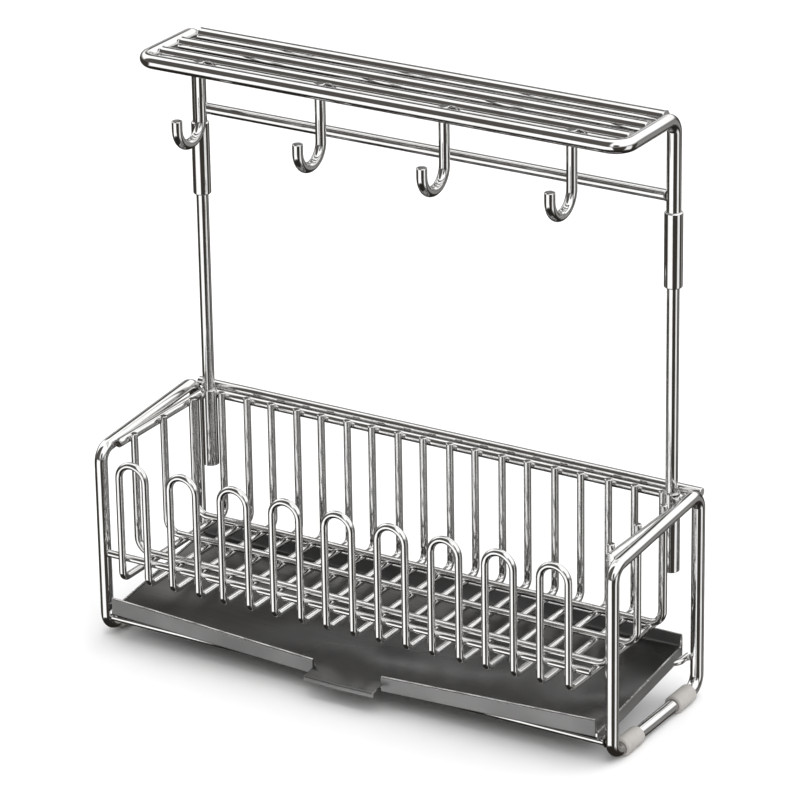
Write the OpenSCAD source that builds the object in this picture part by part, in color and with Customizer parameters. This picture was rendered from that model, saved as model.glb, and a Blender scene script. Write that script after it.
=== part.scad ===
// Sink sponge rack: a wire basket between two rod end frames, a sheet drip tray
// that slides out forwards, and a lift-off shelf of rods with four hooks on two
// posts. Millimetres, +Z up, front towards -Y, origin under the middle of the
// whole rack on the surface that it stands on.

/* [End frames] */
// Distance between the two end frames, rod axis to rod axis
frame_span = 310; // [260:1:400]
// Depth of an end frame, front post axis to rear post axis
frame_depth = 91; // [75:1:130]
// Height of the top bar's axis at the rear post
frame_height = 115; // [90:0.5:160]
// Fall of the top bar's axis from the rear post to the front post
frame_fall = 7.5; // [0:0.5:16]
// Diameter of the end frame rod
frame_rod = 7; // [5:0.1:9]
// Bend radius of the end frame corners, on the rod axis
frame_bend = 8; // [6:0.5:14]

/* [Feet] */
// Wall thickness of a foot sleeve
foot_wall = 1.5; // [1:0.1:3]
// Length of a foot sleeve
foot_length = 18; // [8:0.5:24]
// Distance from the end of the corner bend to the foot sleeve
foot_inset = 0.6; // [0.2:0.1:6]
// Depth of the flat that a foot sleeve stands on
foot_flat = 0.4; // [0.2:0.1:0.6]
// Edge bevel of a foot sleeve
foot_bevel = 0.6; // [0.2:0.1:0.8]

/* [Basket] */
// Diameter of the basket wires
wire = 4; // [3:0.1:5]
// Gap between the outermost loop legs and the sockets beside them
socket_side_gap = 0.05; // [0.05:0.05:6]
// Width of a loop wire's front arch, leg axis to leg axis
arch_width = 16.5; // [12:0.1:18]
// Distance of the loop legs ahead of the front posts, axis to axis
basket_ahead = 11; // [5:0.5:13]
// Height of the cross wires' axes, which carry what stands in the basket
floor_height = 41.2; // [38:0.1:60]
// Depth of the tops of the front arches below the end frames' rear top
arch_drop = 5; // [0:0.5:30]
// Height of the cut ends of the rear and side wires above the rim's axis
wire_stand = 3.4; // [0:0.1:12]
// Bend radius at the foot of the loop wires, on the wire axis
loop_bend = 4.5; // [3:0.5:8]
// Bend radius at the foot of the lengthwise wires, on the wire axis
side_bend = 8; // [4:0.5:14]
// Distance of the first lengthwise wire behind the front posts
side_wire_start = 17; // [8:0.5:24]
// Distance of the last lengthwise wire ahead of the rear posts
side_wire_end = 18.5; // [14:0.5:30]
// Height of the tie rod above the floor wires, axis to axis
tie_rise = 10.8; // [8:0.1:40]
// Distance of the tie rod's ends from the end frames' axes
tie_end_gap = 8; // [2:0.5:14]

/* [Rim and rear rail] */
// Diameter of the rim rod
rim_rod = 5; // [4:0.1:6]
// Depth of the rim rod's axis below the end frames' rear top
rim_drop = 5.4; // [3:0.1:8]
// Distance of the rim behind the rear posts, axis to axis
rim_behind = 1; // [0:0.1:2]
// Bend radius of the rim's rear corners, on the rod axis
rim_bend = 6.5; // [5:0.1:6.8]
// Gap between the rim's front ends and the front posts' axes
rim_end_gap = 8; // [4:0.5:14]
// Diameter of the rear top rail
rail_rod = 5; // [4:0.1:7]
// Distance of the rear top rail behind the rim, axis to axis
rail_behind = 3; // [2:0.1:4]

/* [Drip tray] */
// Thickness of the tray sheet
sheet = 1; // [0.6:0.1:1.5]
// Gap between each end of the tray and the end frame beside it
tray_end_gap = 2.2; // [1.5:0.1:12]
// Distance of the front lip's ends from the ends of the tray
lip_end_gap = 1.3; // [0:0.1:6]
// Thickness of the front lip, a sheet folded double
lip_thickness = 2; // [1:0.1:3]
// Distance of the front lip ahead of the front posts' axes
lip_ahead = 5.5; // [4.5:0.1:9]
// Gap between the rear wall of the tray and the rear posts' axes
tray_rear_gap = 4.9; // [4.5:0.1:12]
// Height of the tray's underside at the middle of the front lip
tray_front_height = 12.5; // [12.1:0.1:13.5]
// Rise of the tray floor for each unit of depth, from front to rear
floor_rise_share = 0.13; // [0.11:0.005:0.16]
// Rise of the tray floor for each unit of length, from the middle to an end
valley_rise_share = 0.021; // [0:0.001:0.03]
// Height of the front lip at its ends, from the underside of the tray
lip_end_rise = 12.3; // [7:0.1:18]
// Height of the front lip beside the spout, from the underside of the tray
lip_notch_rise = 6.1; // [4.5:0.1:12]
// Depth of the folded edge of the front lip below the floor, beside the spout
lip_fold = 3; // [0.2:0.1:4]
// Depth of the folded edge of the front lip below the floor, at its ends
lip_end_fold = 0.5; // [0.2:0.1:2]
// Gap between the rear wall of the tray and the basket wires above it
tray_top_gap = 3.9; // [0.5:0.1:6]
// Height of the end walls above the underside of the tray
end_wall_height = 1.5; // [1:0.1:6]
// Depth of the end walls below the underside of the tray
end_skirt = 5.5; // [2.8:0.1:7]
// Width of the spout
spout_width = 42; // [20:1:80]
// Distance that the spout reaches ahead of the front lip
spout_reach = 8.5; // [7.5:0.1:16]
// Depth of the folded edge of the spout
spout_fold = 3; // [1.5:0.1:5]
// Diameter of the rod that carries the front of the tray
front_rest_rod = 4; // [3:0.1:5]
// Diameter of the wire that carries the rear of the tray
rear_rest_rod = 3.5; // [3:0.1:5]
// Distance of that wire ahead of the rear posts' axes
rear_rest_ahead = 13; // [10:0.5:20]
// Bend radius of that wire, on its axis
rear_rest_bend = 6; // [4:0.5:9]

/* [Posts, sockets and sleeves] */
// Wall thickness of the socket tubes
socket_wall = 1.1; // [0.7:0.1:2]
// Length of the socket tubes
socket_length = 44; // [30:0.5:60]
// Height of the top of the socket tubes above the rim's axis
socket_stand = 5.1; // [2.8:0.1:15]
// Thickness of the floor in a socket
socket_floor = 2; // [1:0.1:5]
// Diameter of the drain hole in a socket floor
socket_drain = 2.5; // [1:0.1:4]
// Diameter of the lower posts
post_dia = 6.5; // [6:0.1:7]
// Depth of the top of the sleeves below the shelf rods' axes
sleeve_drop = 49.7; // [40:0.1:110]
// Length of the sleeves
sleeve_length = 40.5; // [30:0.5:60]
// Wall thickness of the sleeves round the hoop's legs
sleeve_wall = 0.95; // [0.85:0.05:2]
// Edge bevel of the sleeves
sleeve_bevel = 0.5; // [0.2:0.1:0.8]

/* [Shelf] */
// Height of the shelf rods' axes
shelf_height = 317.7; // [305:0.5:360]
// Diameter of the hoop rod
hoop_rod = 7.6; // [7:0.1:8.4]
// Distance from the posts to the front rod of the shelf, axis to axis
shelf_depth = 53; // [50:0.5:80]
// Bend radius where the hoop turns down into its legs, on the rod axis
hoop_bend = 8; // [6:0.5:12]
// Bend radius of the hoop's front corners, on the rod axis
hoop_corner = 9; // [6:0.5:14]
// Diameter of the three inner shelf rods
shelf_rod = 7; // [4:0.1:8]
// Distance from the hoop's front rod to the second rod
shelf_first_gap = 15; // [14.5:0.1:18]
// Distance of the rear shelf rod ahead of the posts' axes
rear_rod_ahead = 2; // [2:0.1:12]
// Diameter of the crossbar between the hoop's legs
crossbar_rod = 6; // [4:0.1:8]
// Gap between the top of the sleeves and the crossbar above it
crossbar_gap = 5; // [1:0.5:20]

/* [Hooks] */
// Diameter of the hook wire
hook_wire = 5.6; // [3:0.1:6]
// Distance of the outer hooks from the posts beside them, axis to axis
hook_end_gap = 32.3; // [16:0.1:60]
// Distance from a hook's shank to its tip, axis to axis
hook_throw = 22; // [12:0.5:30]
// Depth of the lowest point of a hook's axis below the shelf rods' axes
hook_drop = 39.1; // [30:0.1:60]
// Height of a hook's tip above the lowest point of its axis
hook_tip_rise = 15.7; // [15.2:0.1:26]
// Height of a shank's cut end above the shelf rods' axes
hook_stand = 2.6; // [0:0.1:3.4]

/* [Fits] */
// Bite of one welded rod into the next
bite = 0.15; // [0.05:0.01:0.3]
// Gap all round a post in its socket and a leg in its sleeve
slide_fit = 0.05; // [0.02:0.01:0.1]
// Gap between the tray and the rod and wire that carry it
tray_rest_gap = 0.4; // [0.3:0.05:1]
// Gap under a post or a leg that is seated
seat_gap = 0.3; // [0.2:0.05:0.6]
// Overrun of a cut past the face that it opens
overrun = 1; // [0.5:0.1:3]

/* [Hidden] */
$fn = 48;

// Finishes
steel = "silver";
brushed = "dimgray";
silicone = "darkgray";

// The rack reaches from the spout, or the loops, to the rear rail, and the origin
// is halfway between
front_over = max(lip_ahead + spout_reach, basket_ahead + wire / 2);
rear_over = rim_behind + rail_behind + rail_rod / 2;
front_y = (front_over - rear_over - frame_depth) / 2;
rear_y = front_y + frame_depth;
side_x = frame_span / 2;
foot_dia = frame_rod + 2 * foot_wall;
foot_z = foot_dia / 2 - foot_flat;

// Basket
loop_y = front_y - basket_ahead;
rim_z = frame_height - rim_drop;
wire_top = rim_z + wire_stand;
rim_x = side_x - (frame_rod + rim_rod) / 2 + bite;
rim_y = rear_y + rim_behind;
wire_to_rim = (rim_rod + wire) / 2 - bite;
rear_wire_y = rim_y - wire_to_rim;
side_wire_x = rim_x - wire_to_rim;
long_wire_z = floor_height + wire - bite;
side_wire_pitch = (frame_depth - side_wire_start - side_wire_end) / 2;
tie_y = loop_y + wire - bite;
rail_y = rim_y + rail_behind;
rail_reach = (rim_rod + rail_rod) / 2 - bite;
rail_z = rim_z + sqrt(rail_reach * rail_reach - rail_behind * rail_behind);

// Posts stand where the sockets touch both the rear and the side of the rim
socket_dia = post_dia + 2 * (slide_fit + socket_wall);
rim_to_socket = (rim_rod + socket_dia) / 2 - bite;
post_x = rim_x - rim_to_socket;
post_y = rim_y - rim_to_socket;
socket_bottom = rim_z + socket_stand - socket_length;
post_bottom = socket_bottom + socket_floor + seat_gap;
sleeve_dia = hoop_rod + 2 * (slide_fit + sleeve_wall);
sleeve_bottom = shelf_height - sleeve_drop - sleeve_length;
sleeve_step = sleeve_bottom + sleeve_length / 2;
leg_bottom = sleeve_step + seat_gap;

// The loop wires fill the length between the sockets
loops = 9;
first_leg_x = -(post_x - (socket_dia + wire) / 2 - socket_side_gap);
loop_pitch = (-2 * first_leg_x - arch_width) / (loops - 1);
arch_z = frame_height - arch_drop - (wire + arch_width) / 2;

// Shelf
shelf_front_y = post_y - shelf_depth;
second_rod_y = shelf_front_y + shelf_first_gap;
shelf_pitch = (shelf_depth - shelf_first_gap - rear_rod_ahead) / 2;
side_start_y = post_y - hoop_bend;
inner_rod_half = post_x - hoop_rod / 2 + bite;
crossbar_z = shelf_height - sleeve_drop + crossbar_gap + crossbar_rod / 2;
hook_pitch = 2 * (post_x - hook_end_gap) / 3;
hook_y = shelf_front_y + (hoop_rod + hook_wire) / 2 - bite;

// Drip tray
tray_half = side_x - frame_rod / 2 - tray_end_gap;
lip_y = front_y - lip_ahead;
tray_rear_y = rear_y - tray_rear_gap;
lip_end_height = tray_front_height + lip_end_rise;
lip_notch_height = tray_front_height + lip_notch_rise;
rear_wall_height = floor_height - wire / 2 - tray_top_gap;
front_rest_z = tray_under(0, front_y) - front_rest_rod / 2 - tray_rest_gap;
rear_rest_y = rear_y - rear_rest_ahead;
rear_rest_x = side_x - (frame_rod + rear_rest_rod) / 2 + bite;
rear_rest_z = tray_under(0, rear_rest_y) - rear_rest_rod / 2 - tray_rest_gap;
spout_front_y = lip_y - spout_reach;

// Height of the tray's underside, a shallow valley that falls to the front
function tray_under(x, y) =
    tray_front_height + floor_rise_share * (y - lip_y) + valley_rise_share * abs(x);

function unit(v) = v / norm(v);
function turn(a, b) = atan2(a.x * b.y - a.y * b.x, a * b);

// A round rod along straight lines in the XY plane, with its corners bent round.
// In a closed rod the straights are a trace thicker and reach into the bends.
module bent_rod(path, dia, bend, closed = false) {
    count = len(path);
    ways = [for (i = [0 : count - 1]) unit(path[(i + 1) % count] - path[i])];
    turns = [for (i = [0 : count - 1]) turn(ways[(i + count - 1) % count], ways[i])];
    ends = closed ? [] : [0, count - 1];
    lap = closed ? bite : 0;
    trims = [for (i = [0 : count - 1])
        len(search(i, ends)) > 0 ? 0 : bend * tan(abs(turns[i]) / 2)];
    for (i = [0 : count - (closed ? 1 : 2)]) {
        next = (i + 1) % count;
        straight = norm(path[next] - path[i]) - trims[i] - trims[next];
        if (straight > bite / 10)
            translate(path[i] + ways[i] * (trims[i] - lap))
                rotate([0, 90, atan2(ways[i].y, ways[i].x)])
                    cylinder(d = dia, h = straight + 2 * lap);
    }
    for (i = [0 : count - 1]) if (trims[i] > 0) {
        way = ways[(i + count - 1) % count];
        side = sign(turns[i]);
        middle = path[i] - way * trims[i] + side * bend * [-way.y, way.x];
        start = atan2(-side * way.x, side * way.y);
        translate(middle)
            rotate([0, 0, side > 0 ? start : start - abs(turns[i])])
                rotate_extrude(angle = abs(turns[i]))
                    translate([bend, 0]) circle(d = dia - lap / 10);
    }
}

// Stands a shape of the XY plane up, its X along Y and its Y along Z, at one x
module in_side_plane(x) { translate([x, 0, 0]) rotate([90, 0, 90]) children(); }

// Stands a shape of the XY plane up, its Y along Z, at one y
module in_front_plane(y) { translate([0, y, 0]) rotate([90, 0, 0]) children(); }

// An upright round bar with bevelled edges
module bevelled_bar(dia, height, bevel) {
    rotate_extrude() polygon([[0, 0], [dia / 2 - bevel, 0], [dia / 2, bevel],
        [dia / 2, height - bevel], [dia / 2 - bevel, height], [0, height]]);
}

// A straight rod along X, centred
module cross_rod(half, dia) {
    rotate([0, 90, 0]) cylinder(d = dia, h = 2 * half, center = true);
}

module end_frame(side) {
    color(steel) in_side_plane(side * side_x)
        bent_rod([[front_y, foot_z], [front_y, frame_height - frame_fall],
            [rear_y, frame_height], [rear_y, foot_z]], frame_rod, frame_bend, true);
}

module rear_top_rail() {
    color(steel) translate([0, rail_y, rail_z]) cross_rod(side_x, rail_rod);
}

module basket_rim() {
    rim_front = front_y + rim_end_gap;
    color(steel) translate([0, 0, rim_z])
        bent_rod([[-rim_x, rim_front], [-rim_x, rim_y], [rim_x, rim_y], [rim_x, rim_front]],
            rim_rod, rim_bend);
}

// One wire: up at the rear, across the floor, up to the arch and back beside itself
module loop_wire(number) {
    left_x = first_leg_x + (number - 1) * loop_pitch;
    color(steel) {
        for (x = [left_x, left_x + arch_width])
            in_side_plane(x)
                bent_rod([[loop_y, arch_z], [loop_y, floor_height],
                    [rear_wire_y, floor_height], [rear_wire_y, wire_top]], wire, loop_bend);
        translate([left_x + arch_width / 2, 0, arch_z]) in_front_plane(loop_y)
            rotate_extrude(angle = 180) translate([arch_width / 2, 0]) circle(d = wire);
    }
}

// A wire along the floor on top of the loop wires, up to the rim at both ends
module long_wire(place) {
    y = front_y + side_wire_start + place * side_wire_pitch;
    color(steel) in_front_plane(y)
        bent_rod([[-side_wire_x, wire_top], [-side_wire_x, long_wire_z],
            [side_wire_x, long_wire_z], [side_wire_x, wire_top]], wire, side_bend);
}

module front_tie_rod() {
    color(steel) translate([0, tie_y, floor_height + tie_rise])
        cross_rod(side_x - tie_end_gap, wire);
}

module front_tray_rod() {
    color(steel) translate([0, front_y, front_rest_z])
        cross_rod(side_x - frame_rod / 2 + bite, front_rest_rod);
}

module rear_tray_wire() {
    color(steel) translate([0, 0, rear_rest_z])
        bent_rod([[-rear_rest_x, rear_y], [-rear_rest_x, rear_rest_y],
            [rear_rest_x, rear_rest_y], [rear_rest_x, rear_y]],
            rear_rest_rod, rear_rest_bend);
}

// A sleeve on the bottom bar, beside the front or the rear bend, flat underneath
module foot(side, start) {
    color(silicone) translate([side * side_x, start, foot_z]) difference() {
        rotate([-90, 0, 0]) bevelled_bar(foot_dia, foot_length, foot_bevel);
        translate([0, -overrun, 0]) rotate([-90, 0, 0])
            cylinder(d = frame_rod, h = foot_length + 2 * overrun);
        translate([-foot_dia / 2, -overrun, -foot_z - foot_dia])
            cube([foot_dia, foot_length + 2 * overrun, foot_dia]);
    }
}
front_foot_y = front_y + frame_bend + foot_inset;
rear_foot_y = rear_y - frame_bend - foot_inset - foot_length;

module socket(side) {
    color(steel) translate([side * post_x, post_y, socket_bottom]) difference() {
        cylinder(d = socket_dia, h = socket_length);
        translate([0, 0, socket_floor])
            cylinder(d = post_dia + 2 * slide_fit, h = socket_length);
        translate([0, 0, -overrun]) cylinder(d = socket_drain, h = socket_length);
    }
}

module lower_post(side) {
    color(steel) translate([side * post_x, post_y, post_bottom])
        cylinder(d = post_dia, h = sleeve_step - post_bottom);
}

// A collar fixed on the lower post, open at the top for the hoop's leg
module sleeve(side) {
    color(steel) translate([side * post_x, post_y, sleeve_bottom]) difference() {
        bevelled_bar(sleeve_dia, sleeve_length, sleeve_bevel);
        translate([0, 0, -overrun]) cylinder(d = post_dia, h = sleeve_length);
        translate([0, 0, sleeve_length / 2])
            cylinder(d = hoop_rod + 2 * slide_fit, h = sleeve_length);
    }
}

// One rod: up from the right sleeve, forwards, across the front, back and down
module shelf_hoop() {
    color(steel) {
        translate([0, 0, shelf_height])
            bent_rod([[-post_x, side_start_y], [-post_x, shelf_front_y],
                [post_x, shelf_front_y], [post_x, side_start_y]], hoop_rod, hoop_corner);
        for (side = [-1, 1]) in_side_plane(side * post_x)
            bent_rod([[post_y, leg_bottom], [post_y, shelf_height],
                [side_start_y, shelf_height]], hoop_rod, hoop_bend);
    }
}

// The second, third and rear rods, butted between the hoop's sides
module inner_shelf_rod(place) {
    color(steel) translate([0, second_rod_y + place * shelf_pitch, shelf_height])
        cross_rod(inner_rod_half, shelf_rod);
}

module crossbar() {
    color(steel) translate([0, post_y, crossbar_z])
        cross_rod(inner_rod_half, crossbar_rod);
}

// A J of wire welded behind the front rod, open to the front
module hook(number) {
    low = shelf_height - hook_drop;
    color(steel) in_side_plane((number - 2.5) * hook_pitch)
        bent_rod([[hook_y, shelf_height + hook_stand], [hook_y, low],
            [hook_y - hook_throw, low], [hook_y - hook_throw, low + hook_tip_rise]],
            hook_wire, hook_throw / 2);
}

// An upright wall across the tray, its lower edge folded below the floor
module tray_wall(y, thickness, x_from, x_to, top_from, top_to, fold_from, fold_to) {
    translate([0, thickness, 0]) in_front_plane(y) linear_extrude(thickness)
        polygon([[x_from, tray_under(x_from, y) - fold_from],
            [x_to, tray_under(x_to, y) - fold_to], [x_to, top_to], [x_from, top_from]]);
}

// One half of the tray, from the valley at the middle to its right end
module half_tray() {
    valley = atan(valley_rise_share);
    rise = atan(floor_rise_share * cos(valley));
    notch = spout_width / 2;
    depth = tray_rear_y - lip_y;
    length = 2 * (tray_half + depth);
    intersection() {
        translate([0, lip_y, tray_front_height]) rotate([0, -valley, 0]) rotate([rise, 0, 0])
            translate([-length / 2, -length / 2, 0]) cube([length, length, sheet]);
        union() {
            translate([0, lip_y, 0]) cube([tray_half, depth, rear_wall_height]);
            translate([0, spout_front_y, 0])
                cube([notch, spout_reach + sheet, rear_wall_height]);
        }
    }
    tray_wall(lip_y, lip_thickness, notch, tray_half - lip_end_gap,
        lip_notch_height, lip_end_height, lip_fold, lip_end_fold);
    tray_wall(tray_rear_y - sheet, sheet, 0, tray_half, rear_wall_height, rear_wall_height, 0, 0);
    tray_wall(spout_front_y, sheet, 0, notch, tray_under(0, spout_front_y) + sheet,
        tray_under(notch, spout_front_y) + sheet, spout_fold - sheet, spout_fold - sheet);
    end_wall();
}

// Height of an end wall's lower edge, which stays above a rod that the tray slides over
function skirt_foot(y, over_rod) = max(tray_under(tray_half, y) - end_skirt, over_rod);

// The tray's right end, folded down and cut back over the front rod and the rear wire
module end_wall() {
    over_front = front_rest_z + front_rest_rod / 2 + tray_rest_gap;
    over_rear = rear_rest_z + rear_rest_rod / 2 + tray_rest_gap;
    start_y = lip_y + lip_thickness;
    step_y = rear_rest_y - rear_rest_rod / 2 - tray_rest_gap;
    level_until = lip_y + (over_front + end_skirt - tray_under(tray_half, lip_y)) / floor_rise_share;
    kink_y = min(step_y, max(start_y, level_until));
    in_side_plane(tray_half - sheet) linear_extrude(sheet)
        polygon([[lip_y, tray_under(tray_half, lip_y)],
            [start_y, skirt_foot(start_y, over_front)], [kink_y, skirt_foot(kink_y, over_front)],
            [step_y, skirt_foot(step_y, over_front)], [step_y, skirt_foot(step_y, over_rear)],
            [tray_rear_y, skirt_foot(tray_rear_y, over_rear)], [tray_rear_y, rear_wall_height],
            [tray_rear_y - end_wall_height, tray_under(tray_half, tray_rear_y) + end_wall_height],
            [lip_y, tray_under(tray_half, lip_y) + end_wall_height]]);
}

module drip_tray() {
    color(brushed) union() {
        half_tray();
        mirror([1, 0, 0]) half_tray();
    }
}

end_frame(-1);  // left_end_frame
end_frame(1);  // right_end_frame
rear_top_rail();
basket_rim();
loop_wire(1);  // loop_wire_1
loop_wire(2);  // loop_wire_2
loop_wire(3);  // loop_wire_3
loop_wire(4);  // loop_wire_4
loop_wire(5);  // loop_wire_5
loop_wire(6);  // loop_wire_6
loop_wire(7);  // loop_wire_7
loop_wire(8);  // loop_wire_8
loop_wire(9);  // loop_wire_9
long_wire(0);  // front_long_wire
long_wire(1);  // middle_long_wire
long_wire(2);  // rear_long_wire
front_tie_rod();
front_tray_rod();
rear_tray_wire();
foot(-1, front_foot_y);  // front_left_foot
foot(-1, rear_foot_y);  // rear_left_foot
foot(1, front_foot_y);  // front_right_foot
foot(1, rear_foot_y);  // rear_right_foot
socket(-1);  // left_socket
socket(1);  // right_socket
drip_tray();
lower_post(-1);  // left_lower_post
sleeve(-1);  // left_sleeve
lower_post(1);  // right_lower_post
sleeve(1);  // right_sleeve
shelf_hoop();
inner_shelf_rod(0);  // second_shelf_rod
inner_shelf_rod(1);  // third_shelf_rod
inner_shelf_rod(2);  // rear_shelf_rod
crossbar();
hook(1);  // hook_1
hook(2);  // hook_2
hook(3);  // hook_3
hook(4);  // hook_4
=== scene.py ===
import math
import bmesh
import bpy
import numpy as np
from mathutils import Matrix


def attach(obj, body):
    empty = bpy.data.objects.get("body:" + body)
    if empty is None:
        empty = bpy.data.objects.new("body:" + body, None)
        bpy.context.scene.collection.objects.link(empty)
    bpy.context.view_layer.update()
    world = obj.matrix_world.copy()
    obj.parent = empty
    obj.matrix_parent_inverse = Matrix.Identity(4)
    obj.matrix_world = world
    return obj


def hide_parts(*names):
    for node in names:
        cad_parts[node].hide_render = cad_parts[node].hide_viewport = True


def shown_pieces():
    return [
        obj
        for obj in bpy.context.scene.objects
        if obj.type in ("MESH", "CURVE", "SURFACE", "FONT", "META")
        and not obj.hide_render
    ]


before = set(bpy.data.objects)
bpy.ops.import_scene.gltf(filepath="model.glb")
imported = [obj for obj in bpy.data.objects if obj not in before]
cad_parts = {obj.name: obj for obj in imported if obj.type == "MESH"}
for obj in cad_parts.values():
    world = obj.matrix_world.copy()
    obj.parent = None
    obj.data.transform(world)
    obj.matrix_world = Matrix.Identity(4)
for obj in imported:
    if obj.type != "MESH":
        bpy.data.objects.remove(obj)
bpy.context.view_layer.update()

mm = 0.001

rack = {
    "frontY": -41.75,
    "rearY": 49.25,
    "sideX": 155.0,
    "barZ": 4.6,
    "rodSides": 40,
    "bendStep": 6.0,        # degrees of a bend between two rings
    "straightStep": 12.0,   # longest stretch of a rod between two rings
    "cutBevel": 0.3,        # softened edge of a sawn rod end
    "uvStep": 10.0,         # length of rod that one unit of its UV map covers
    "slant": (0.31, 0.87, 0.41),    # a way that no rod runs, to turn a rod's first ring by
}


def newPiece(name, points, faces, body, nodes, uv=None, wrap=(1.0, 0.0), sharp=38):
    # one object at the origin, its place in its mesh; wrap is the length of one turn of
    # each UV axis, and a face that closes a turn counts on past it
    mesh = bpy.data.meshes.new(name)
    mesh.from_pydata(points.tolist(), [], faces)
    if uv is not None:
        layer = mesh.uv_layers.new(name="alongRod")
        corners = np.empty(len(mesh.loops), dtype=np.int32)
        mesh.loops.foreach_get("vertex_index", corners)
        starts = np.empty(len(mesh.polygons), dtype=np.int32)
        mesh.polygons.foreach_get("loop_start", starts)
        counts = np.diff(np.append(starts, len(corners)))
        places = uv[corners]
        for axis, turn in enumerate(wrap):
            highest = np.repeat(np.maximum.reduceat(places[:, axis], starts), counts)
            places[:, axis] += turn * (highest - places[:, axis] > max(turn, mm) / 2)
        layer.data.foreach_set("uv", places.astype(np.float32).ravel())
    mesh.polygons.foreach_set("use_smooth", np.ones(len(mesh.polygons), dtype=bool))
    mesh.set_sharp_from_angle(angle=math.radians(sharp))
    mesh.update()
    piece = bpy.data.objects.new(name, mesh)
    bpy.context.scene.collection.objects.link(piece)
    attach(piece, body)
    if nodes:
        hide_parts(*nodes)
    return piece


def roundedPath(corners, bend, closed=False):
    # straight stretches joined by circular arcs that touch both neighbours: an arc starts
    # bend / tan(half the angle) before its corner
    corners = np.asarray(corners, float)
    count = len(corners)
    stations = []
    for i in range(count):
        here = corners[i]
        if not closed and i in (0, count - 1):
            stations.append(here[None])
            continue
        before = corners[i - 1] - here
        after = corners[(i + 1) % count] - here
        before /= np.linalg.norm(before)
        after /= np.linalg.norm(after)
        half = math.acos(np.clip(before @ after, -1, 1)) / 2
        trim = bend / math.tan(half)
        middle = here + (before + after) / np.linalg.norm(before + after) * bend / math.sin(half)
        start = here + before * trim - middle
        end = here + after * trim - middle
        swing = math.pi - 2 * half
        steps = max(2, int(math.degrees(swing) / rack["bendStep"]))
        t = np.linspace(0, 1, steps + 1)[:, None]
        # slerp from the first touching point to the last one
        stations.append(middle + (np.sin((1 - t) * swing) * start + np.sin(t * swing) * end)
                        / math.sin(swing))
    if closed:
        stations.append(stations[0][:1])
    path = np.concatenate(stations)
    # long straights get rings of their own
    pieces = []
    for a, b in zip(path[:-1], path[1:]):
        parts = max(1, int(np.linalg.norm(b - a) / rack["straightStep"]))
        pieces.append(a + (b - a) * np.arange(parts)[:, None] / parts)
    pieces.append(path[-1:])
    return np.concatenate(pieces)


# the rings of a weld's foot, as parts of its reach, and the power that it falls off with
weldFoot = {"rings": (0, 0.15, 0.35, 0.6, 1), "reach": 1.2, "fall": 2.2}


def rodMesh(path, radius, closed=False, flare=0.0):
    # a circle carried along a path in a frame that doesn't twist, with sawn ends; flare
    # widens each end into a weld's foot
    ways = np.gradient(path, axis=0)
    if closed:
        path, ways = path[:-1], ways[:-1]
        ways[0] = path[1] - path[-1]
    else:
        ways[0], ways[-1] = path[1] - path[0], path[-1] - path[-2]
    ways /= np.linalg.norm(ways, axis=1)[:, None]
    radii = np.full(len(path), radius)
    if not closed:
        first, last = path[0], path[-1]
        if flare:
            depth = np.array(weldFoot["rings"]) * weldFoot["reach"]
            wide = radius + flare * (1 - depth / weldFoot["reach"]) ** weldFoot["fall"]
        else:
            depth = np.array([0, rack["cutBevel"]])
            wide = np.array([radius - rack["cutBevel"], radius])
        head = first + depth[:, None] * ways[0]
        tail = (last - depth[:, None] * ways[-1])[::-1]
        path = np.concatenate([head, path[1:-1], tail])
        radii = np.concatenate([wide, radii[1:-1], wide[::-1]])
        ways = np.concatenate([np.repeat(ways[:1], len(depth), 0), ways[1:-1],
                               np.repeat(ways[-1:], len(depth), 0)])
    normal = np.cross(ways[0], rack["slant"])
    normals = [normal / np.linalg.norm(normal)]
    for way in ways[1:]:
        normal = normals[-1] - way * (normals[-1] @ way)
        normals.append(normal / np.linalg.norm(normal))
    normals = np.array(normals)
    sides = rack["rodSides"]
    turn = np.arange(sides) * 2 * math.pi / sides
    lateral = np.cross(ways, normals)
    ring = (np.cos(turn)[None, :, None] * normals[:, None]
            + np.sin(turn)[None, :, None] * lateral[:, None])
    points = (path[:, None] + ring * radii[:, None, None]).reshape(-1, 3)
    rings = len(path)
    length = np.concatenate([[0], np.cumsum(np.linalg.norm(np.diff(path, axis=0), axis=1))])
    along = length / rack["uvStep"]
    uv = np.stack([np.tile(turn / (2 * math.pi), rings), np.repeat(along, sides)], 1)
    faces = gridFaces(rings, sides, closed)
    if not closed:
        points = np.concatenate([points, path[:1], path[-1:]])
        uv = np.concatenate([uv, [[0.5, 0], [0.5, along[-1]]]])
        start, end = rings * sides, rings * sides + 1
        for k in range(sides):
            after = (k + 1) % sides
            faces.append((start, after, k))
            faces.append((end, (rings - 1) * sides + k, (rings - 1) * sides + after))
    return points * mm, faces, uv


def gridFaces(rings, sides, closed, around=True):
    # quads of a grid of rings, each ring closed on itself unless around is off
    rows = np.arange(rings if closed else rings - 1)
    columns = np.arange(sides if around else sides - 1)
    i, k = np.meshgrid(rows, columns, indexing="ij")
    nextRow, nextColumn = (i + 1) % rings, (k + 1) % sides
    quads = np.stack([i * sides + k, i * sides + nextColumn,
                      nextRow * sides + nextColumn, nextRow * sides + k], -1)
    return [tuple(q) for q in quads.reshape(-1, 4).tolist()]


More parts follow.
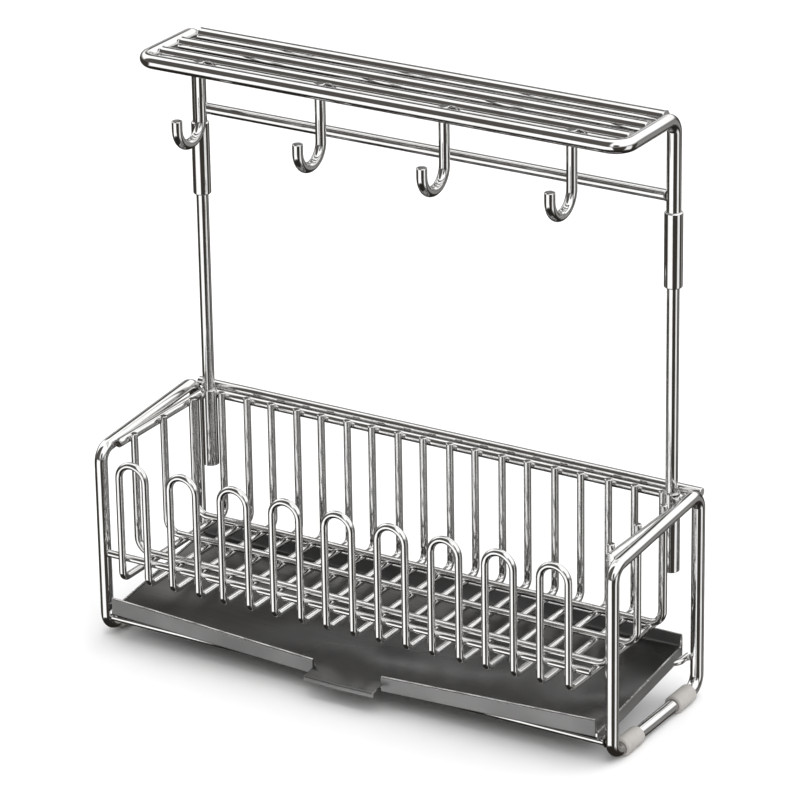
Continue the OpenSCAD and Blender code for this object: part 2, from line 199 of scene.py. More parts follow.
def turnedMesh(profile, centre, axis="z", sides=64):
    # a closed outline of (radius, height) spun about an axis
    profile = np.asarray(profile, float)
    turn = np.arange(sides) * 2 * math.pi / sides
    r, h = profile[:, 0], profile[:, 1]
    x = r[:, None] * np.cos(turn)
    y = r[:, None] * np.sin(turn)
    z = np.repeat(h[:, None], sides, 1)
    grid = np.stack([x, y, z], -1).reshape(-1, 3)
    if axis == "y":
        grid = np.stack([grid[:, 1], grid[:, 2], grid[:, 0]], 1)
    uv = np.stack([np.tile(turn / (2 * math.pi), len(profile)),
                   np.repeat(h / rack["uvStep"], sides)], 1)
    faces = gridFaces(len(profile), sides, True)
    return grid + np.asarray(centre), faces, uv


def roundedOutline(corners, radius, steps=4, apart=2.2):
    # an outline of (radius, height) with its corners softened by quadratic bends, which
    # shrink on a short edge so that they stay apart
    corners = np.asarray(corners, float)
    outline = []
    for before, here, after in zip(np.roll(corners, 1, 0), corners, np.roll(corners, -1, 0)):
        a, b = before - here, after - here
        reach = min(radius, np.linalg.norm(a) / apart, np.linalg.norm(b) / apart)
        a, b = a / np.linalg.norm(a) * reach, b / np.linalg.norm(b) * reach
        t = np.linspace(0, 1, steps + 1)[:, None]
        outline.append(here + a * (1 - t) ** 2 + b * t ** 2)
    return np.concatenate(outline)


def addRod(name, corners, diameter, bend, body, node, closed=False, flare=0.0):
    # a rod bent through its corners; a closed one has its whole length as its UV turn
    path = roundedPath(corners, bend, closed) if len(corners) > 2 else straight(corners)
    points, faces, uv = rodMesh(path, diameter / 2, closed, flare=flare)
    length = np.linalg.norm(np.diff(path, axis=0), axis=1).sum()
    turns = (1.0, length / rack["uvStep"] if closed else 0.0)
    newPiece(name, points, faces, body, [node], uv, turns)


def straight(corners):
    # even steps from one end to the other
    a, b = np.asarray(corners, float)
    count = max(2, int(np.linalg.norm(b - a) / rack["straightStep"]))
    return a + (b - a) * np.linspace(0, 1, count + 1)[:, None]


endFrame = {"rod": 7.0, "bend": 8.0, "frontTop": 107.5, "rearTop": 115.0}
for side, word in ((-1, "left"), (1, "right")):
    x = side * rack["sideX"]
    addRod(word + "EndFrame",
           [(x, rack["frontY"], rack["barZ"]), (x, rack["frontY"], endFrame["frontTop"]),
            (x, rack["rearY"], endFrame["rearTop"]), (x, rack["rearY"], rack["barZ"])],
           endFrame["rod"], endFrame["bend"], "basket", word + "_end_frame", closed=True)

rim = {"rod": 5.0, "bend": 6.5, "x": 149.15, "y": 50.25, "z": 109.6, "frontY": -33.75}
addRod("basketRim",
       [(-rim["x"], rim["frontY"], rim["z"]), (-rim["x"], rim["y"], rim["z"]),
        (rim["x"], rim["y"], rim["z"]), (rim["x"], rim["frontY"], rim["z"])],
       rim["rod"], rim["bend"], "basket", "basket_rim")

rail = {"rod": 5.0, "y": 53.25, "z": 113.411}
addRod("rearTopRail",
       [(-rack["sideX"], rail["y"], rail["z"]), (rack["sideX"], rail["y"], rail["z"])],
       rail["rod"], 0, "basket", "rear_top_rail")

loop = {"wire": 4.0, "bend": 4.5, "arch": 16.5, "count": 9, "endX": 135.95, "frontY": -52.75,
        "rearY": 45.9, "floorZ": 41.2, "archZ": 99.75, "topZ": 113.0, "archRings": 31}
leftLegs = np.linspace(-loop["endX"], loop["endX"] - loop["arch"], loop["count"])
for number, left in enumerate(leftLegs):
    right = left + loop["arch"]
    half = loop["arch"] / 2
    back = [(left, loop["rearY"], loop["topZ"]), (left, loop["rearY"], loop["floorZ"]),
            (left, loop["frontY"], loop["floorZ"]), (left, loop["frontY"], loop["archZ"])]
    away = [(right, y, z) for _, y, z in back[::-1]]
    turn = np.linspace(math.pi, 0, loop["archRings"])
    arch = np.stack([left + half + half * np.cos(turn), np.full(len(turn), loop["frontY"]),
                     loop["archZ"] + half * np.sin(turn)], 1)
    path = np.concatenate([roundedPath(back, loop["bend"])[:-1], arch,
                           roundedPath(away, loop["bend"])[1:]])
    points, faces, uv = rodMesh(path, loop["wire"] / 2)
    newPiece("loopWire%d" % (number + 1), points, faces, "basket",
             ["loop_wire_%d" % (number + 1)], uv)

longWire = {"x": 144.8, "z": 45.05, "bend": 8.0, "frontY": -24.75, "pitch": 27.75}
for place, word in enumerate(("front", "middle", "rear")):
    y = longWire["frontY"] + place * longWire["pitch"]
    addRod(word + "LongWire",
           [(-longWire["x"], y, loop["topZ"]), (-longWire["x"], y, longWire["z"]),
            (longWire["x"], y, longWire["z"]), (longWire["x"], y, loop["topZ"])],
           loop["wire"], longWire["bend"], "basket", word + "_long_wire")

tie = {"half": 147.0, "y": -48.9, "z": 52.0}
addRod("frontTieRod", [(-tie["half"], tie["y"], tie["z"]), (tie["half"], tie["y"], tie["z"])],
       loop["wire"], 0, "basket", "front_tie_rod")

trayRod = {"frontRod": 4.0, "frontZ": 10.815, "half": 151.65, "rearRod": 3.5, "rearX": 149.9,
           "rearY": 36.25, "rearZ": 21.205, "bend": 6.0, "weld": 0.8}
addRod("frontTrayRod",
       [(-trayRod["half"], rack["frontY"], trayRod["frontZ"]),
        (trayRod["half"], rack["frontY"], trayRod["frontZ"])],
       trayRod["frontRod"], 0, "basket", "front_tray_rod", flare=trayRod["weld"])
addRod("rearTrayWire",
       [(-trayRod["rearX"], rack["rearY"], trayRod["rearZ"]),
        (-trayRod["rearX"], trayRod["rearY"], trayRod["rearZ"]),
        (trayRod["rearX"], trayRod["rearY"], trayRod["rearZ"]),
        (trayRod["rearX"], rack["rearY"], trayRod["rearZ"])],
       trayRod["rearRod"], trayRod["bend"], "basket", "rear_tray_wire")
print("basket wires made")


# half sizes of the beads, and how far the larger ones at the end frames and the rail sit
# from the rods that they join
weld = {"across": 1.15, "tall": 0.85, "rings": 7, "sides": 12,
        "rimBehind": 25, "rimSize": (0.85, 3.2, 1.5),
        "wireAhead": 2, "wireSize": (0.85, 2.4, 1.6),
        "railX": 150.0, "railAhead": 2.2, "railBelow": 0.6, "railSize": (2.6, 1.3, 1.6)}


def beadMesh(places, sizes):
    # small ellipsoids, one for each place, as one mesh with closed poles
    places, sizes = np.asarray(places, float), np.asarray(sizes, float)
    up = np.linspace(0, math.pi, weld["rings"] + 2)[1:-1]
    turn = np.arange(weld["sides"]) * 2 * math.pi / weld["sides"]
    ball = np.stack([np.outer(np.sin(up), np.cos(turn)), np.outer(np.sin(up), np.sin(turn)),
                     np.outer(np.cos(up), np.ones(weld["sides"]))], -1).reshape(-1, 3)
    ball = np.concatenate([ball, [[0, 0, 1], [0, 0, -1]]])
    points = (places[:, None] + ball[None] * sizes[:, None]).reshape(-1, 3)
    faces, sides, rings = [], weld["sides"], weld["rings"]
    quads = gridFaces(rings, sides, False)
    caps = [(rings * sides, k, (k + 1) % sides) for k in range(sides)]
    caps += [(rings * sides + 1, (rings - 1) * sides + (k + 1) % sides, (rings - 1) * sides + k)
             for k in range(sides)]
    for i in range(len(places)):
        base = i * len(ball)
        faces += [tuple(base + v for v in face[::-1]) for face in quads]
        faces += [tuple(base + v for v in face) for face in caps]
    return points * mm, faces


legX = np.concatenate([leftLegs, leftLegs + loop["arch"]])
wireR, rimR = loop["wire"] / 2, rim["rod"] / 2
flat = (weld["across"], weld["across"], weld["tall"])
sideways = (weld["tall"], weld["across"], weld["across"])
deep = (weld["across"], weld["tall"], weld["across"])
places, sizes = [], []
for x in legX:
    for place in range(3):
        places.append((x, longWire["frontY"] + place * longWire["pitch"], loop["floorZ"] + wireR))
        sizes.append(flat)
    places.append((x, loop["frontY"] + wireR, tie["z"]))
    sizes.append(deep)
    places.append((x, loop["rearY"] + wireR, rim["z"]))
    sizes.append(deep)
for sign in (-1, 1):
    for place in range(3):
        places.append((sign * (longWire["x"] + wireR),
                       longWire["frontY"] + place * longWire["pitch"], rim["z"]))
        sizes.append(sideways)
    places.append((sign * (rim["x"] + rimR), rack["frontY"] + weld["rimBehind"], rim["z"]))
    sizes.append(weld["rimSize"])
    places.append((sign * (rack["sideX"] - endFrame["rod"] / 2),
                   rack["rearY"] - weld["wireAhead"], trayRod["rearZ"]))
    sizes.append(weld["wireSize"])
    places.append((sign * weld["railX"], rail["y"] - weld["railAhead"],
                   rail["z"] - weld["railBelow"]))
    sizes.append(weld["railSize"])
beadPoints, beadFaces = beadMesh(places, sizes)
newPiece("basketWelds", beadPoints, beadFaces, "basket", [])
print("welds made")


foot = {"radius": 5.0, "bore": 3.5, "length": 18.0, "inset": 8.6, "bevel": 0.8, "soft": 0.25,
        "sides": 72}
for side, word in ((-1, "Left"), (1, "Right")):
    for start, end in ((rack["frontY"] + foot["inset"], "front"),
                       (rack["rearY"] - foot["inset"] - foot["length"], "rear")):
        outline = roundedOutline(
            [(foot["bore"], 0), (foot["radius"] - foot["bevel"], 0),
             (foot["radius"], foot["bevel"]), (foot["radius"], foot["length"] - foot["bevel"]),
             (foot["radius"] - foot["bevel"], foot["length"]), (foot["bore"], foot["length"])],
            foot["soft"])
        points, faces, uv = turnedMesh(outline, (0, 0, 0), "y", foot["sides"])
        points[:, 2] = np.maximum(points[:, 2], -rack["barZ"])    # pressed flat underneath
        points += (side * rack["sideX"], start, rack["barZ"])
        newPiece(end + word + "Foot", points * mm, faces, "basket",
                 [end + "_" + word.lower() + "_foot"], uv)
print("feet made")


post = {"x": 142.4, "y": 43.5, "rod": 6.5, "foot": 73.0, "head": 247.75,
        "socket": 8.8, "socketFoot": 70.7, "socketHead": 114.7, "socketBore": 6.6,
        "socketFloor": 2.0, "drain": 2.5,
        "sleeve": 9.6, "sleeveFoot": 227.5, "sleeveHead": 268.0, "sleeveBore": 7.7,
        "bevel": 0.5, "soft": 0.25}
for side, word in ((-1, "left"), (1, "right")):
    x = side * post["x"]
    outer, bore, hole = post["socket"] / 2, post["socketBore"] / 2, post["drain"] / 2
    floor = post["socketFoot"] + post["socketFloor"]
    outline = roundedOutline(
        [(hole, post["socketFoot"]), (outer, post["socketFoot"]), (outer, post["socketHead"]),
         (bore, post["socketHead"]), (bore, floor), (hole, floor)], post["soft"])
    points, faces, uv = turnedMesh(outline, (x, post["y"], 0))
    newPiece(word + "Socket", points * mm, faces, "basket", [word + "_socket"], uv)

    addRod(word + "LowerPost", [(x, post["y"], post["foot"]), (x, post["y"], post["head"])],
           post["rod"], 0, word + "_post", word + "_lower_post")

    outer, bevel = post["sleeve"] / 2, post["bevel"]
    inner, upper = post["rod"] / 2, post["sleeveBore"] / 2
    outline = roundedOutline(
        [(inner, post["sleeveFoot"]), (outer - bevel, post["sleeveFoot"]),
         (outer, post["sleeveFoot"] + bevel), (outer, post["sleeveHead"] - bevel),
         (outer - bevel, post["sleeveHead"]), (upper, post["sleeveHead"]),
         (upper, post["head"]), (inner, post["head"])], post["soft"])
    points, faces, uv = turnedMesh(outline, (x, post["y"], 0))
    newPiece(word + "Sleeve", points * mm, faces, word + "_post",
             [word + "_sleeve"], uv)
print("posts made")


shelf = {"z": 317.7, "hoop": 7.6, "frontY": -9.5, "bend": 8.0, "corner": 9.0, "legFoot": 248.05,
         "rod": 7.0, "rodY": (5.5, 23.5, 41.5), "innerHalf": 138.75, "weld": 0.25,
         "crossbar": 6.0, "crossbarZ": 276.0}
backTurn = roundedPath([(-post["x"], post["y"], shelf["legFoot"]),
                        (-post["x"], post["y"], shelf["z"]),
                        (-post["x"], shelf["frontY"] + 2 * shelf["corner"], shelf["z"])],
                       shelf["bend"])
across = roundedPath([(-post["x"], shelf["frontY"] + 2 * shelf["corner"], shelf["z"]),
                      (-post["x"], shelf["frontY"], shelf["z"]),
                      (post["x"], shelf["frontY"], shelf["z"]),
                      (post["x"], shelf["frontY"] + 2 * shelf["corner"], shelf["z"])],
                     shelf["corner"])
downTurn = backTurn[::-1] * (-1, 1, 1)
hoopPath = np.concatenate([backTurn[:-1], across[:-1], downTurn])
points, faces, uv = rodMesh(hoopPath, shelf["hoop"] / 2)
newPiece("shelfHoop", points, faces, "shelf", ["shelf_hoop"], uv)
for y, word in zip(shelf["rodY"], ("second", "third", "rear")):
    addRod(word + "ShelfRod", [(-shelf["innerHalf"], y, shelf["z"]),
                               (shelf["innerHalf"], y, shelf["z"])],
           shelf["rod"], 0, "shelf", word + "_shelf_rod", flare=shelf["weld"])
addRod("crossbar", [(-shelf["innerHalf"], post["y"], shelf["crossbarZ"]),
                    (shelf["innerHalf"], post["y"], shelf["crossbarZ"])],
       shelf["crossbar"], 0, "shelf", "crossbar", flare=shelf["weld"])

hook = {"wire": 5.6, "count": 4, "pitch": 73.4, "y": -3.05, "throw": 22.0, "lowZ": 278.6,
        "tipZ": 294.3, "topZ": 320.3, "betweenBends": 0.001, "weldAhead": 2.8,
        "weldSize": (2.2, 1.0, 2.0)}
places, sizes = [], []
for number in range(hook["count"]):
    x = (number - (hook["count"] - 1) / 2) * hook["pitch"]
    addRod("hook%d" % (number + 1),
           [(x, hook["y"], hook["topZ"]), (x, hook["y"], hook["lowZ"]),
            (x, hook["y"] - hook["throw"], hook["lowZ"]),
            (x, hook["y"] - hook["throw"], hook["tipZ"])],
           hook["wire"], hook["throw"] / 2 - hook["betweenBends"], "shelf",
           "hook_%d" % (number + 1))
    places.append((x, hook["y"] - hook["weldAhead"], shelf["z"]))
    sizes.append(hook["weldSize"])
beadPoints, beadFaces = beadMesh(places, sizes)
newPiece("shelfWelds", beadPoints, beadFaces, "shelf", [])
print("shelf made")


tray = {"half": 149.3, "lipHalf": 148.0, "lipY": -47.25, "lipThick": 2.0, "rearY": 44.35,
        "sheet": 1.0, "frontZ": 12.5, "rise": 0.13, "valley": 0.021, "lipEnd": 24.8,
        "lipNotch": 18.6, "lipFold": 3.0, "lipEndFold": 0.5, "rearTop": 35.3, "endUp": 1.5,
        "skirt": 5.5, "overRod": 13.215, "overWire": 23.355, "stepY": 34.1, "notch": 21.0,
        "spout": 8.5, "spoutFold": 3.0, "bend": 1.6, "spoutBend": 0.8, "crease": 1.4,
        "lipChamfer": 0.25, "fillet": 0.45, "filletSteps": 4, "sharp": 50, "merge": 0.01}
# the sheet's mesh: how many rows its parts have, and how far they stay from each other
trayRows = {"along": 24, "afterLip": 1.5, "floorStart": 6, "beforeWall": 2, "wall": 4,
            "headGap": 0.4, "headRise": 1.3, "headReach": 1.1, "headSteps": 5,
            "spoutStart": 3, "spoutEnd": 0.5, "spoutFlat": 4, "spoutTrim": 0.1,
            "endStart": 0.3, "endFront": 30, "step": 0.2, "endRear": 6, "endDown": 9,
            "lipAlong": 20, "lipRound": 13, "wide": 26, "middle": 7, "valleyHalf": 3}


def trayFloor(x, y):
    # middle of the sheet: it rises to the rear and, from a soft crease, to both ends
    away = np.sqrt(x ** 2 + tray["crease"] ** 2) - tray["crease"]
    return tray["frontZ"] + tray["sheet"] / 2 + tray["rise"] * (y - tray["lipY"]) \
        + tray["valley"] * away


def arcTo(start, end, steps=6):
    # quadratic bend between two (y, z) offsets from its corner, touching both legs
    t = np.linspace(0, 1, steps + 1)[:, None]
    return np.asarray(start) * (1 - t) ** 2 + np.asarray(end) * t ** 2


def trayGrid(xs, front):
    # rows of x, columns along the sheet from its front edge to the top of the rear wall
    half, bend = tray["sheet"] / 2, tray["bend"]
    rear = tray["rearY"] - half
    floorY = np.concatenate([[tray["lipY"] + tray["lipThick"] + trayRows["afterLip"]],
                             np.linspace(tray["lipY"] + trayRows["floorStart"],
                                         rear - bend - trayRows["beforeWall"],
                                         trayRows["along"])])
    rows = []
    for x in xs:
        floorZ = trayFloor(x, floorY)
        turn = arcTo((-bend, 0), (0, bend))
        cornerZ = trayFloor(x, rear)
        rearY = rear + turn[:, 0]
        rearZ = cornerZ + turn[:, 1] + tray["rise"] * np.linspace(-bend, 0, len(turn))
        wallZ = np.linspace(rearZ[-1], tray["rearTop"], trayRows["wall"])[1:]
        if front == "lip":
            y0 = tray["lipY"] + tray["lipThick"] + trayRows["headGap"]
            turn = arcTo((0, trayRows["headRise"]), (trayRows["headReach"], 0),
                         trayRows["headSteps"])
            headY, headZ = y0 + turn[:, 0], trayFloor(x, y0) + turn[:, 1]
        else:
            y0 = tray["lipY"] - tray["spout"] + half
            turn = arcTo((0, -tray["spoutBend"]), (tray["spoutBend"], 0))
            low = trayFloor(x, y0) - tray["spoutFold"] + half + trayRows["spoutTrim"]
            flatY = np.linspace(y0 + trayRows["spoutStart"],
                                tray["lipY"] + trayRows["spoutEnd"], trayRows["spoutFlat"])
            headY = np.concatenate([[y0], y0 + turn[:, 0], flatY])
            headZ = np.concatenate([[low], trayFloor(x, y0) + turn[:, 1], trayFloor(x, flatY)])
        y = np.concatenate([headY, floorY, rearY, np.full(len(wallZ), rear)])
        z = np.concatenate([headZ, floorZ, rearZ, wallZ])
        rows.append(np.stack([np.full(len(y), x), y, z], 1))
    grid = np.array(rows)
    return grid.reshape(-1, 3), gridFaces(len(xs), grid.shape[1], False, around=False)


def stripGrid(top, bottom, columns):
    # a flat strip between two lines of points
    t = np.linspace(0, 1, columns)[None, :, None]
    grid = top[:, None] * (1 - t) + bottom[:, None] * t
    return grid.reshape(-1, 3), gridFaces(len(top), columns, False, around=False)


def endStrip(sign):
    # end wall, cut back over the front rod and, past a step, over the rear wire
    half, start = tray["sheet"] / 2, tray["lipY"] + tray["lipThick"]
    rear = tray["rearY"] - half
    y = np.concatenate([[tray["lipY"] + trayRows["endStart"]],
                        np.linspace(start, tray["stepY"], trayRows["endFront"]),
                        np.linspace(tray["stepY"] + trayRows["step"], rear - tray["endUp"],
                                    trayRows["endRear"]), [rear]])
    under = trayFloor(tray["half"], y) - half
    low = np.maximum(under - tray["skirt"],
                     np.where(y > tray["stepY"], tray["overWire"], tray["overRod"]))
    low[0] = under[0] - half
    top = under + tray["endUp"]
    top[-1] = tray["rearTop"]
    x = np.full(len(y), sign * (tray["half"] - half))
    return stripGrid(np.stack([x, y, top], 1)[::-sign], np.stack([x, y, low], 1)[::-sign],
                     trayRows["endDown"])


def buildLip(sign, name):
    # a sheet folded double: an upright outline with a round top, carried from the spout to
    # the end while its top rises and its foot draws in
    x = np.linspace(tray["notch"], tray["lipHalf"], trayRows["lipAlong"])
    share = (x - tray["notch"]) / (tray["lipHalf"] - tray["notch"])
    top = tray["lipNotch"] + (tray["lipEnd"] - tray["lipNotch"]) * share
    low = trayFloor(x, tray["lipY"]) - tray["sheet"] / 2 - tray["lipFold"] * (1 - share) \
        - tray["lipEndFold"] * share
    crest, cut = tray["lipThick"] / 2, tray["lipChamfer"]
    turn = np.linspace(math.pi, 0, trayRows["lipRound"])
    across = np.concatenate([[-1, cut - 1], np.cos(turn), [1, 1 - cut]]) * crest
    rise = np.concatenate([[cut, 0], crest * np.sin(turn) - crest, [cut, 0]])
    atTop = np.concatenate([[0, 0], np.ones(len(turn)), [0, 0]])
    z = rise + atTop * top[:, None] + (1 - atTop) * low[:, None]
    y = np.broadcast_to(tray["lipY"] + crest + across, z.shape)
    points = np.stack([np.broadcast_to(sign * x[:, None], z.shape), y, z], -1)
    sides = len(across)
    faces = gridFaces(len(x), sides, False)
    faces += [tuple(range(sides)), tuple(range(len(x) * sides - 1, (len(x) - 1) * sides - 1, -1))]
    lip = newPiece(name, points.reshape(-1, 3) * mm, faces, "tray", [],
                   sharp=tray["sharp"])
    work = bmesh.new()
    work.from_mesh(lip.data)
    bmesh.ops.recalc_face_normals(work, faces=work.faces)
    work.to_mesh(lip.data)
    work.free()
    return lip


def buildTray():
    # the sheet's middle surface as five grids, with more rows near the crease, merged at
    # their common edges and given the sheet's thickness
    inner, outer = tray["notch"], tray["half"] - tray["sheet"] / 2
    wide = np.linspace(inner, outer, trayRows["wide"])
    valley = trayRows["valleyHalf"]
    middle = np.concatenate([np.linspace(-inner, -valley, trayRows["middle"]),
                             [-valley / 2, 0, valley / 2],
                             np.linspace(valley, inner, trayRows["middle"])])
    parts = [trayGrid(-wide[::-1], "lip"), trayGrid(middle, "spout"), trayGrid(wide, "lip"),
             endStrip(-1), endStrip(1)]
    points, faces, base = [], [], 0
    for part, quads in parts:
        points.append(part)
        faces += [tuple(base + v for v in quad) for quad in quads]
        base += len(part)
    piece = newPiece("dripTray", np.concatenate(points) * mm, faces, "tray",
                     ["drip_tray"])
    work = bmesh.new()
    work.from_mesh(piece.data)
    bmesh.ops.remove_doubles(work, verts=work.verts, dist=tray["merge"] * mm)
    bmesh.ops.recalc_face_normals(work, faces=work.faces)
    work.to_mesh(piece.data)
    work.free()
    thick = piece.modifiers.new("sheet", "SOLIDIFY")
    thick.thickness = tray["sheet"] * mm
    thick.offset = 0
    thick.material_offset_rim = 1    # the cut edge follows each finish of the sheet
    # the rim and the bevelled edges take the bright edge finish: bare metal, partly a painted
    # highlight
    soft = piece.modifiers.new("edges", "BEVEL")
    soft.width = tray["fillet"] * mm
    soft.segments = tray["filletSteps"]
    soft.material = 1
    soft.harden_normals = True
    soft.limit_method = "ANGLE"
    soft.angle_limit = math.radians(tray["sharp"])
    return piece


dripTray = buildTray()
trayLips = [buildLip(-1, "leftTrayLip"), buildLip(1, "rightTrayLip")]
print("tray made")


class Signal:
    # a shader socket that can be calculated with
    def __init__(self, finish, socket):
        self.finish, self.socket = finish, socket

    def calculate(self, operation, first, second):
        return self.finish.add("ShaderNodeMath", {"operation": operation}, {0: first, 1: second})

    def __add__(self, other):
        return self.calculate("ADD", self, other)

    def __radd__(self, other):
        return self.calculate("ADD", other, self)

    def __sub__(self, other):
        return self.calculate("SUBTRACT", self, other)

    def __rsub__(self, other):
        return self.calculate("SUBTRACT", other, self)

    def __mul__(self, other):
        return self.calculate("MULTIPLY", self, other)

    def __rmul__(self, other):
        return self.calculate("MULTIPLY", other, self)


class Board:
    # a node tree and the calls that fill it
    def __init__(self, tree):
        self.tree = tree
        self.tree.nodes.clear()

    def add(self, kind, settings=None, sockets=None, output=0):
        # one node: its settings first, then the values or links of its sockets
        node = self.tree.nodes.new(kind)
        for key, value in (settings or {}).items():
            if key == "stops":
                ramp = node.color_ramp.elements
                while len(ramp) < len(value):
                    ramp.new(0.5)
                for stop, (place, colour) in zip(ramp, value):
                    stop.position, stop.color = place, colour
            else:
                setattr(node, key, value)
        for key, value in (sockets or {}).items():
            if isinstance(value, Signal):
                self.tree.links.new(value.socket, node.inputs[key])
            else:
                node.inputs[key].default_value = value
        return Signal(self, node.outputs[output]) if node.outputs else None

    def ramp(self, signal, stops):
        return self.add("ShaderNodeValToRGB", {"stops": stops}, {"Fac": signal})

    def span(self, signal, fromLow, fromHigh, toLow, toHigh):
        # a straight rise or fall between two values of the signal, level outside them
        return self.add("ShaderNodeMapRange", None, {
            "Value": signal, "From Min": fromLow, "From Max": fromHigh,
            "To Min": toLow, "To Max": toHigh})


class Finish(Board):
    # one material and the nodes that it is made of
    def __init__(self, name):
        self.material = bpy.data.materials.new(name)
        self.material.use_nodes = True
        super().__init__(self.material.node_tree)

    def objectPlace(self, stretch=(1, 1, 1)):
        place = self.add("ShaderNodeTexCoord", output=3)
        return self.add("ShaderNodeMapping", sockets={"Vector": place, "Scale": stretch})

    def noise(self, place, scale, detail, rough):
        return self.add("ShaderNodeTexNoise", sockets={
            "Vector": place, "Scale": scale, "Detail": detail, "Roughness": rough})

    def bump(self, height, strength, distance, normal=None):
        sockets = {"Height": height, "Strength": strength, "Distance": distance}
        if normal is not None:
            sockets["Normal"] = normal
        return self.add("ShaderNodeBump", None, sockets)

    def surface(self, sockets):
        shader = self.add("ShaderNodeBsdfPrincipled", None, sockets)
        self.add("ShaderNodeOutputMaterial", None, {"Surface": shader})


def grey(level, warm=0.0):
    # a grey with this share more red and less blue
    return (level * (1 + warm), level, level * (1 - warm), 1)


def makeSteel():
    # polished rod: near mirror, faint draw lines along it and wiped smears
    finish = Finish("polishedSteel")
    place = finish.objectPlace()
    smear = finish.noise(place, scale=38.0, detail=3.0, rough=0.55)
    along = finish.add("ShaderNodeUVMap", {"uv_map": "alongRod"})
    drawn = finish.add("ShaderNodeMapping", sockets={"Vector": along, "Scale": (60, 0.35, 1)})
    lines = finish.noise(drawn, scale=4.0, detail=5.0, rough=0.6)
    colour = finish.ramp(smear, [(0.3, grey(0.62, 0.012)), (0.72, grey(0.74, 0.004))])
    rough = finish.span(smear, 0.35, 0.7, 0.045, 0.09) + lines * 0.02
    relief = finish.bump(lines, strength=0.03, distance=0.0002)
    finish.surface({"Base Color": colour, "Metallic": 1.0, "Roughness": rough, "Normal": relief})
    return finish.material


def makeWeld():
    # weld beads: the same steel, pickled duller and a little uneven
    finish = Finish("weldedSteel")
    place = finish.objectPlace()
    grain = finish.noise(place, scale=900.0, detail=3.0, rough=0.6)
    tone = finish.noise(place, scale=60.0, detail=2.0, rough=0.5)
    colour = finish.ramp(tone, [(0.3, grey(0.5, 0.03)), (0.75, grey(0.66, 0.01))])
    relief = finish.bump(grain, strength=0.35, distance=0.0003)
    finish.surface({"Base Color": colour, "Metallic": 1.0,
                    "Roughness": finish.span(grain, 0.3, 0.7, 0.2, 0.34), "Normal": relief})
    return finish.material


def makeSheet():
    # satin sheet, darker than the rods: very fine scratches along the tray, water marks,
    # and a floor that is not quite flat, so that it mirrors the room in soft patches
    finish = Finish("brushedSheet")
    fine = finish.noise(finish.objectPlace((8, 1100, 1100)), scale=1.0, detail=3.0, rough=0.6)
    marks = finish.noise(finish.objectPlace(), scale=14.0, detail=2.0, rough=0.5)
    tone = fine * 0.3 + marks * 0.7
    waves = finish.noise(finish.objectPlace((0.9, 1.3, 1)), scale=11.0, detail=0.5, rough=0.4)
    colour = finish.ramp(tone, [(0.38, grey(0.08, 0.03)), (0.64, grey(0.13, 0.015))])
    uneven = finish.bump(waves, strength=1.0, distance=0.029)
    relief = finish.bump(fine, strength=0.06, distance=0.0001, normal=uneven)
    finish.surface({"Base Color": colour, "Metallic": 0.85,
                    "Roughness": finish.span(marks, 0.35, 0.65, 0.3, 0.25), "Normal": relief})
    return finish.material


def makeFold():
    # painted light: a lighter copy of the floor's finish for the sheet's lips, skirts, rear wall
    # and spout fold, standing in for the light that these upright faces catch
    finish = Finish("foldedSheet")
    fine = finish.noise(finish.objectPlace((8, 1100, 1100)), scale=1.0, detail=3.0, rough=0.6)
    marks = finish.noise(finish.objectPlace(), scale=20.0, detail=3.0, rough=0.5)
    colour = finish.ramp(marks, [(0.35, grey(0.13, 0.012)), (0.65, grey(0.2, 0.008))])
    relief = finish.bump(fine, strength=0.06, distance=0.0001)
    finish.surface({"Base Color": colour, "Metallic": 0.7, "Roughness": 0.3, "Normal": relief})
    return finish.material


def makeSawnEnd():
    # the hooks' sawn tops: dull, with the saw's marks
    finish = Finish("sawnEnd")
    marks = finish.noise(finish.objectPlace((300, 3000, 300)), scale=1.0, detail=3.0, rough=0.6)
    colour = finish.ramp(marks, [(0.3, grey(0.12, 0.02)), (0.7, grey(0.2, 0.01))])
    relief = finish.bump(marks, strength=0.3, distance=0.0002)
    finish.surface({"Base Color": colour, "Metallic": 0.9, "Roughness": 0.42, "Normal": relief})
    return finish.material


def makeCutEdge():
    # bright bare metal on the sheet's sheared and deburred edges, partly a painted highlight
    # there; on the lips' folded crests only a painted highlight
    finish = Finish("cutEdge")
    grain = finish.noise(finish.objectPlace((40, 900, 900)), scale=1.0, detail=3.0, rough=0.6)
    colour = finish.ramp(grain, [(0.35, grey(0.7, 0.01)), (0.65, grey(0.85, 0.005))])
    finish.surface({"Base Color": colour, "Metallic": 1.0,
                    "Roughness": finish.span(grain, 0.3, 0.7, 0.2, 0.3)})
    return finish.material


def makeSilicone():
    # moulded silicone: matt grey with a fine mould grain, faint rings and dust
    finish = Finish("greySilicone")
    place = finish.objectPlace()
    cloud = finish.noise(place, scale=120.0, detail=4.0, rough=0.6)
    grain = finish.noise(place, scale=1600.0, detail=3.0, rough=0.6)
    rings = finish.noise(finish.objectPlace((900, 60, 900)), scale=0.5, detail=2.0, rough=0.5)
    colour = finish.ramp(cloud, [(0.3, grey(0.40, 0.05)), (0.7, grey(0.47, 0.04))])
    turned = finish.bump(rings, strength=0.3, distance=0.0004)
    relief = finish.bump(grain, strength=0.25, distance=0.0003, normal=turned)
    finish.surface({"Base Color": colour, "Roughness": finish.span(cloud, 0.3, 0.7, 0.5, 0.62),
                    "Specular IOR Level": 0.4, "Normal": relief})
    return finish.material


# how deep below a hook's top its faces are sawn, and from which lean of a normal a face
# belongs to a lip's crest, to a wall or to the spout's fold
marked = {"sawn": 0.1, "crest": 0.25, "wall": 0.7, "fold": 0.5}


def mark(piece, finishNumber, picked):
    # gives the picked faces of a piece another one of its finishes
    for face in piece.data.polygons:
        if picked(face.center / mm, face.normal):
            face.material_index = finishNumber


steel, welded, silicone = makeSteel(), makeWeld(), makeSilicone()
sheet, fold, cutEdge, sawn = makeSheet(), makeFold(), makeCutEdge(), makeSawnEnd()
